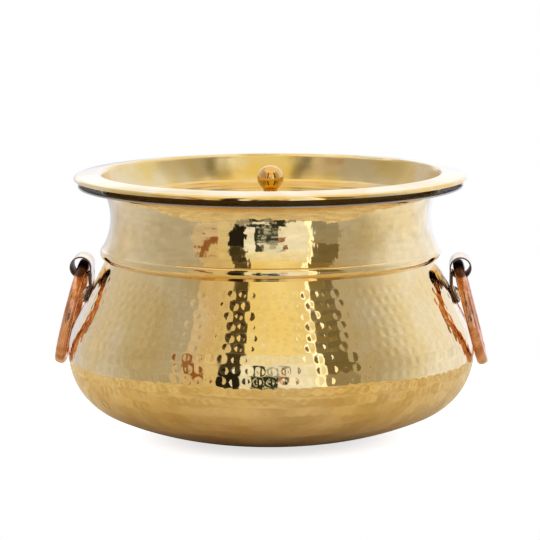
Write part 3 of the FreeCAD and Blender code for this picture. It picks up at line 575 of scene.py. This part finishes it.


# Brackets: a 28 mm brass strap rolled once round the ring's bar, its two tails laid together.
# The doubled tail lies down the shoulder and is riveted through it, its lower corners rounded off.
# The inside of the eye is painted near black as painted shade, and the tail is painted darker in patches.

eye_out, eye_up = 0.139881, 0.127093
paint = Paint("strap_brass")
colour, dull = paint.brass((0.86, 0.68, 0.42), (0.74, 0.50, 0.26), 0.14, size=60.0)
aside = paint.maths("ABSOLUTE", paint.x)
from_eye = paint.reach(paint.maths("SUBTRACT", aside, eye_out), paint.maths("SUBTRACT", paint.z, eye_up))
# the inside of the eye is painted near black: painted shade
eye_painted_shade = paint.step(from_eye, 0.0075, 0.0071)
on_tail = paint.step(paint.z, 0.1245, 0.1205)
at_end = paint.step(paint.maths("ABSOLUTE", paint.y), 0.0134, 0.0138)
# the tail is darker in random patches, and the eye's painted shade is laid over them
tail_patches_and_eye_shade = paint.maths("MULTIPLY", on_tail, paint.clouds(90.0, 4.0, 0.62, 0.42))
tail_patches_and_eye_shade = paint.maths("MAXIMUM", eye_painted_shade, tail_patches_and_eye_shade)
colour = paint.blend(tail_patches_and_eye_shade, colour, (0.09, 0.055, 0.035))
colour = paint.blend(at_end, colour, (0.22, 0.13, 0.08))
dull = paint.mix(paint.maths("MAXIMUM", tail_patches_and_eye_shade, at_end), dull, 0.4)
paint.ripple(200.0, 0.00004)
strap_brass = paint.done(colour, dull)
for node in ("right_rivet_front", "right_rivet_back", "left_rivet_front", "left_rivet_back"):
    repaint(node, strap_brass)


def make_bracket(name, side):
    """The strap as one sheet: up the inner tail, round the eye, and down the outer tail."""
    leg = math.radians(92.523)
    wall = math.radians(116.160)
    foot = (0.132451, 0.111725)
    leg_length = 0.015026
    leaf_length = 0.0125
    inner_face, outer_face = 0.00055, 0.00165
    eye_radius = 0.00755
    rolled = 322.0
    half_width = 0.014
    corner = 0.004
    thickness = 0.00108

    def beside(way, along, aside):
        """A point so far along a line from the foot of the leg, and so far to the line's right."""
        return (foot[0] + along * math.cos(way) + aside * math.sin(way),
                foot[1] + along * math.sin(way) - aside * math.cos(way))

    back_top = beside(leg, leg_length, inner_face)
    start = math.degrees(math.atan2(back_top[1] - eye_up, back_top[0] - eye_out))
    inner = [beside(wall, -leaf_length + leaf_length * step / 8, inner_face) for step in range(8)]
    inner += [beside(leg, 0.0005 + 0.0145 * step / 8, inner_face) for step in range(9)]
    roll = arc_line((eye_out, eye_up), eye_radius, start, start - rolled, 56)
    outer = [beside(leg, 0.0085 - 0.008 * step / 5, outer_face) for step in range(6)]
    outer += [beside(wall, -leaf_length * step / 8, outer_face) for step in range(1, 9)]
    path = inner + roll[1:] + outer

    # the leaf has rounded corners, and is bent to the pot's round wall
    vertices = []
    faces = []
    across = 16
    leaf_steps = 8
    for number, (x, z) in enumerate(path):
        from_end = min(number, len(path) - 1 - number)
        along = leaf_length * min(1.0, from_end / leaf_steps)
        past_leaf = from_end - (leaf_steps - 1)
        bend = 1.0 if past_leaf <= 0 else max(0.0, 1.0 - past_leaf / 6)
        half = half_width
        if along < corner:
            half -= corner - math.sqrt(max(0.0, corner ** 2 - (corner - along) ** 2))
        for step in range(across + 1):
            y = half * (2.0 * step / across - 1.0)
            sag = x - math.sqrt(x * x - y * y)
            vertices.append((side * (x - bend * sag), side * y, z))
    for number in range(len(path) - 1):
        for step in range(across):
            a = number * (across + 1) + step
            faces.append((a, a + 1, a + across + 2, a + across + 1))
    mesh = bpy.data.meshes.new(name)
    mesh.from_pydata(vertices, [], faces)
    mesh.materials.append(strap_brass)
    mesh.shade_smooth()
    piece = bpy.data.objects.new(name, mesh)
    bpy.context.scene.collection.objects.link(piece)
    sheet = piece.modifiers.new("sheet", "SOLIDIFY")
    sheet.thickness = thickness
    sheet.offset = 0.0
    sheet.use_even_offset = True
    rounding = piece.modifiers.new("edges", "BEVEL")
    rounding.width = 0.00025
    rounding.segments = 2
    rounding.limit_method = "ANGLE"
    rounding.angle_limit = math.radians(50)
    return piece


for side_name, side in (("right", 1.0), ("left", -1.0)):
    bracket = make_bracket(side_name + "_strap", side)
    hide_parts(side_name + "_bracket")
    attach(bracket, "pot")


# Ring handles: 8 mm copper bar, a little squared by the hammer, bent into a ring and closed.
# Each hangs in the eye of its bracket, leaning out over the belly, and is painted dark inside the eye as
# painted shade.

paint = Paint("hammered_copper")
colour, dull = paint.brass((0.88, 0.44, 0.26), (0.60, 0.24, 0.11), 0.15, size=110.0)
aside = paint.maths("ABSOLUTE", paint.x)
from_eye = paint.reach(paint.maths("SUBTRACT", aside, eye_out), paint.maths("SUBTRACT", paint.z, eye_up))
# the bar is painted dark brown inside the bracket's eye: painted shade
ring_painted_eye_shade = paint.step(from_eye, 0.0064, 0.0044)
colour = paint.blend(ring_painted_eye_shade, colour, (0.13, 0.055, 0.035))
dull = paint.mix(ring_painted_eye_shade, dull, 0.35)
paint.ripple(240.0, 0.00008)
hammered_copper = paint.done(colour, dull)

ring_sizes = {"Ring radius": 0.036, "Bar radius": 0.0039, "Hammer depth": 0.0003, "Squareness": 2.8}
bench = NodeBench("hammered_ring")
ring_radius, bar_radius, hammer_depth, squareness = [bench.size(*entry) for entry in ring_sizes.items()]
hoop = bench.node("GeometryNodeCurvePrimitiveCircle", {"Resolution": 160, "Radius": ring_radius}).outputs[0]
round_bar = bench.node("GeometryNodeCurvePrimitiveCircle", {"Resolution": 36, "Radius": 1.0}).outputs[0]
place = bench.node("GeometryNodeInputPosition").outputs[0]
at = bench.axes(place)
powers = [bench.maths("POWER", bench.maths("ABSOLUTE", at[key]), squareness) for key in ("X", "Y")]
spread = bench.maths("POWER", bench.maths("ADD", *powers), bench.maths("DIVIDE", -1.0, squareness))
squared = bench.scaled(place, bench.maths("MULTIPLY", spread, bar_radius))
bar = bench.node("GeometryNodeSetPosition", {"Geometry": round_bar, "Position": squared}).outputs[0]
torus = bench.node("GeometryNodeCurveToMesh", {"Curve": hoop, "Profile Curve": bar}).outputs[0]

# the hammer's facets: about 13 to each radian of the hoop, and one for each 4 mm of its bar
facets_round, facets_up = 13.0, 240.0
facet_reach = 0.45
outward = bench.axes(bench.unit(bench.vector(at["X"], at["Y"], 0.0)))
cell = bench.vector(bench.maths("MULTIPLY", outward["X"], facets_round),
                    bench.maths("MULTIPLY", outward["Y"], facets_round),
                    bench.maths("MULTIPLY", at["Z"], facets_up))
facets = bench.node("ShaderNodeTexVoronoi", {"Vector": cell, "Scale": 1.0}, feature="SMOOTH_F1")
facets.inputs["Smoothness"].default_value = 0.35
low = bench.maths("MAXIMUM", bench.maths("SUBTRACT", facet_reach, facets.outputs["Distance"]), 0.0)
sunk = bench.maths("MULTIPLY", low, bench.maths("MULTIPLY", hammer_depth, -2.0))
push = bench.scaled(bench.node("GeometryNodeInputNormal").outputs[0], sunk)
beaten_ring = bench.node("GeometryNodeSetPosition", {"Geometry": torus, "Offset": push}).outputs[0]
ring_tree = bench.finish(beaten_ring, hammered_copper)

# the ring hangs from the eye, slipped in it towards the pot, and lies along its lean
lean = math.radians(14.4171)
hang = 0.035025
slip = 0.0014
ring_out = eye_out + hang * math.sin(lean) - slip * math.cos(lean)
ring_up = eye_up - hang * math.cos(lean) - slip * math.sin(lean)
upright = Matrix.Rotation(math.radians(90), 4, "Y")
tip = Matrix.Rotation(-lean, 4, "Y")
shift = Matrix.Translation(Vector((ring_out, 0.0, ring_up)))
for side_name, half_turn in (("right", 0.0), ("left", math.pi)):
    carrier = section_object(side_name + "_copper_ring", [[(0.0, 0.0), (0.01, 0.0)]])
    ring = make_piece(carrier, ring_tree, ring_sizes)
    ring.data.transform(Matrix.Rotation(half_turn, 4, "Z") @ shift @ tip @ upright)
    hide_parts(side_name + "_ring")
    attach(ring, side_name + "_handle")


# Table: the pale top that the pot stands on, with a ragged, roughly square edge.
# The metal mirrors it as warm and grainy, and straight to the eye it glows white, more weakly near the foot,
# so that only a soft shadow close round the pot shows: painted light.

half_side, farthest = 0.325, 0.42
rim_points = 240
below_foot = -0.0004
rim = []
for number in range(rim_points):
    turn = math.tau * number / rim_points
    ragged = (0.008 * math.sin(9 * turn + 1.0) + 0.010 * math.sin(23 * turn + 2.6)
              + 0.010 * math.sin(41 * turn))
    reach = min(half_side / max(abs(math.cos(turn)), abs(math.sin(turn))), farthest) + ragged
    rim.append((reach * math.cos(turn), reach * math.sin(turn), below_foot))
table = bpy.data.meshes.new("table_top")
table.from_pydata(rim, [], [tuple(range(rim_points))])
table_top = bpy.data.objects.new("table_top", table)
bpy.context.scene.collection.objects.link(table_top)

paint = Paint("table_top")
paint.tree.nodes.remove(paint.skin)
grain = paint.clouds(16.0, 4.0, 0.3, 0.7, (1.0, 2.2, 1.0))
mirrored = paint.node("ShaderNodeBsdfDiffuse", {
    "Color": paint.blend(grain, (0.74, 0.62, 0.40), (1.0, 0.90, 0.68))})
plain = paint.node("ShaderNodeBsdfDiffuse", {"Color": (0.42, 0.42, 0.43, 1.0)})
# the glow is painted light, stronger away from the foot, so that the shadow fades out beyond it
beyond_foot = paint.step(paint.reach(paint.x, paint.y), 0.055, 0.115)
glow = paint.node("ShaderNodeEmission", {
    "Color": (1.0, 1.0, 1.0, 1.0), "Strength": paint.maths("MULTIPLY_ADD", beyond_foot, 0.27, 0.71)})
seen = paint.node("ShaderNodeAddShader", {0: plain.outputs[0], 1: glow.outputs[0]})
straight_on = paint.node("ShaderNodeLightPath").outputs["Is Camera Ray"]
surface = paint.node("ShaderNodeMixShader", {0: straight_on, 1: mirrored.outputs[0], 2: seen.outputs[0]})
paint.tree.links.new(surface.outputs[0], paint.tree.nodes["Material Output"].inputs["Surface"])
table.materials.append(paint.material)


# Room: what the metal mirrors all round, laid out as soft-edged panels on plain pale walls.
# There is one tall bright window in three tones, a dark post, an olive panel and some loose scraps.
# Bearings run in degrees from the front to the right, and heights in degrees from level up.

world = bpy.data.worlds.new("room")
world.use_nodes = True
bpy.context.scene.world = world
world.node_tree.nodes.clear()
room = Shading(world.node_tree)
way = room.node("ShaderNodeTexCoord").outputs["Generated"]
scraps = room.node("ShaderNodeTexNoise", {"Vector": way, "Scale": 9.0, "Detail": 4.0}).outputs["Fac"]
waves = room.node("ShaderNodeTexNoise", {"Vector": way, "Scale": 7.0, "Detail": 3.0}).outputs["Color"]
shake = room.axes(waves)
toward = room.axes(way)
bearing = room.maths("DEGREES", room.maths(
    "ARCTAN2", toward["X"], room.maths("MULTIPLY", toward["Y"], -1.0)))
bearing = room.maths("ADD", bearing, room.maths("MULTIPLY_ADD", shake["X"], 7.0, -3.5))
rise = room.maths("DEGREES", room.maths("ARCSINE", toward["Z"]))
rise = room.maths("ADD", rise, room.maths("MULTIPLY_ADD", shake["Y"], 16.0, -8.0))


def card(below, west, east, low, high, colour, soft=2.0, torn=0.0, slant=0.0):
    """Lays a panel of one colour over the room so far, between two bearings and two heights."""
    def inside(value, start, end):
        from_middle = room.maths("ABSOLUTE", room.maths("SUBTRACT", value, (start + end) / 2))
        half = (end - start) / 2
        return room.step(from_middle, half + soft / 2, half - soft / 2)

    slanted = room.maths("MULTIPLY_ADD", rise, slant, bearing)
    mask = room.maths("MULTIPLY", inside(slanted, west, east), inside(rise, low, high))
    if torn:
        sharpness = 8.0
        holes = room.maths("MULTIPLY_ADD", scraps, sharpness, -sharpness * torn)
        holes = room.maths("MINIMUM", room.maths("MAXIMUM", holes, 0.0), 1.0)
        mask = room.maths("MULTIPLY", mask, holes)
    return room.blend(mask, below, colour)


view = (0.50, 0.50, 0.50)

# the side walls, the wall behind and the ceiling
view = card(view, 88, 280, -60, 90, (0.94, 1.02, 1.22), 45)
view = card(view, -280, -100, -60, 90, (0.70, 0.73, 0.84), 50)
view = card(view, 150, 230, 2, 60, (1.08, 1.15, 1.28), 16)
view = card(view, -230, -150, 2, 60, (1.08, 1.15, 1.28), 16)
view = card(view, -180, 180, 51, 120, (1.04, 1.02, 0.96), 10)
# the shaded ground and the strip beside the window
view = card(view, -34, 54, -60, 0, (0.34, 0.35, 0.33), 3)
view = card(view, -38, -26, -38, 54, (0.74, 0.68, 0.52), 4)
# the window, deeper in colour towards its top
view = card(view, -15.5, 31, -36, 56, (0.92, 0.84, 0.50), 1)
view = card(view, -15.5, 31, -36, 37, (0.94, 0.95, 0.84), 2)
view = card(view, -15.5, 31, -36, 22, (0.95, 1.04, 1.18), 2)
# its bright frame, and the dark post on its other side
view = card(view, 29.3, 33.3, -34, 55, (1.45, 1.5, 1.55), 1)
view = card(view, -26.5, -15.5, -30, 12, (0.02, 0.017, 0.013), 1)
view = card(view, -26.5, -15.5, 12, 40, (0.06, 0.048, 0.024), 2)
view = card(view, -26.5, -15.5, 40, 53, (0.10, 0.08, 0.04), 2)
# the olive panel
view = card(view, 33.6, 52, -36, 8, (0.34, 0.33, 0.29), 1)
view = card(view, 33.6, 52, 8, 40, (0.19, 0.17, 0.11), 1)
view = card(view, 33.6, 52, 40, 53, (0.24, 0.20, 0.10), 2)
# the pale ground on the left, with its orange scraps
view = card(view, -54, -37, -30, 50, (0.68, 0.61, 0.52), 1.5)
view = card(view, -53, -37, -24, 34, (0.34, 0.16, 0.08), 1.5, 0.53)
view = card(view, -43.5, -36.5, -4, 31, (0.30, 0.13, 0.055), 1.5, 0.0, 0.36)
# the scraps in front of the window
view = card(view, -15, 14, -42, -24, (0.03, 0.035, 0.03), 2, 0.40)
view = card(view, -9, 8, -30, 4, (0.03, 0.04, 0.025), 2, 0.34)
view = card(view, -4, 5, -28, -12, (0.80, 0.90, 0.85), 2, 0.52)
view = card(view, -9, 11, 4, 20, (0.06, 0.07, 0.045), 2, 0.42)
view = card(view, 8, 13, -8, 16, (0.34, 0.14, 0.06), 1.5, 0.46)

mottle = room.node("ShaderNodeTexNoise", {"Vector": way, "Scale": 4.5, "Detail": 5.0}).outputs["Fac"]
strength = room.maths("MULTIPLY_ADD", mottle, 0.40, 0.68)
strength = room.maths("ADD", strength, room.maths("MULTIPLY", scraps, 0.24))
view = room.blend(1.0, view, strength, mode="MULTIPLY")
straight_on = room.node("ShaderNodeLightPath").outputs["Is Camera Ray"]
seen = room.blend(straight_on, view, (1.0, 1.0, 1.0))
background = room.node("ShaderNodeBackground", {"Color": seen, "Strength": 1.0}).outputs[0]
room.node("ShaderNodeOutputWorld", {"Surface": background})


# Camera: a long lens 2.5 m away and a little above the rim, turned slightly to the right of the front.
# It leans a quarter of a degree, as the photograph does.

scene = bpy.context.scene
scene.view_settings.view_transform = "Standard"
lens = bpy.data.cameras.new("camera")
lens.lens = 225.4
lens.sensor_width = 36.0
lens.clip_end = 20.0
lens.shift_x = -0.9 / 540.0
camera = bpy.data.objects.new("camera", lens)
scene.collection.objects.link(camera)
scene.camera = camera
aim = Vector((0.0, 0.0, 0.1236))
distance = 2.5
round_by, up_by = math.radians(2.5), math.radians(8.0)
camera.location = aim + distance * Vector((
    math.sin(round_by) * math.cos(up_by), -math.cos(round_by) * math.cos(up_by), math.sin(up_by)))
straight = (aim - camera.location).to_track_quat("-Z", "Y")
leaning = Matrix.Rotation(math.radians(-0.25), 3, "Z").to_quaternion()
camera.rotation_mode = "QUATERNION"
camera.rotation_quaternion = straight @ leaning

bpy.context.view_layer.update()
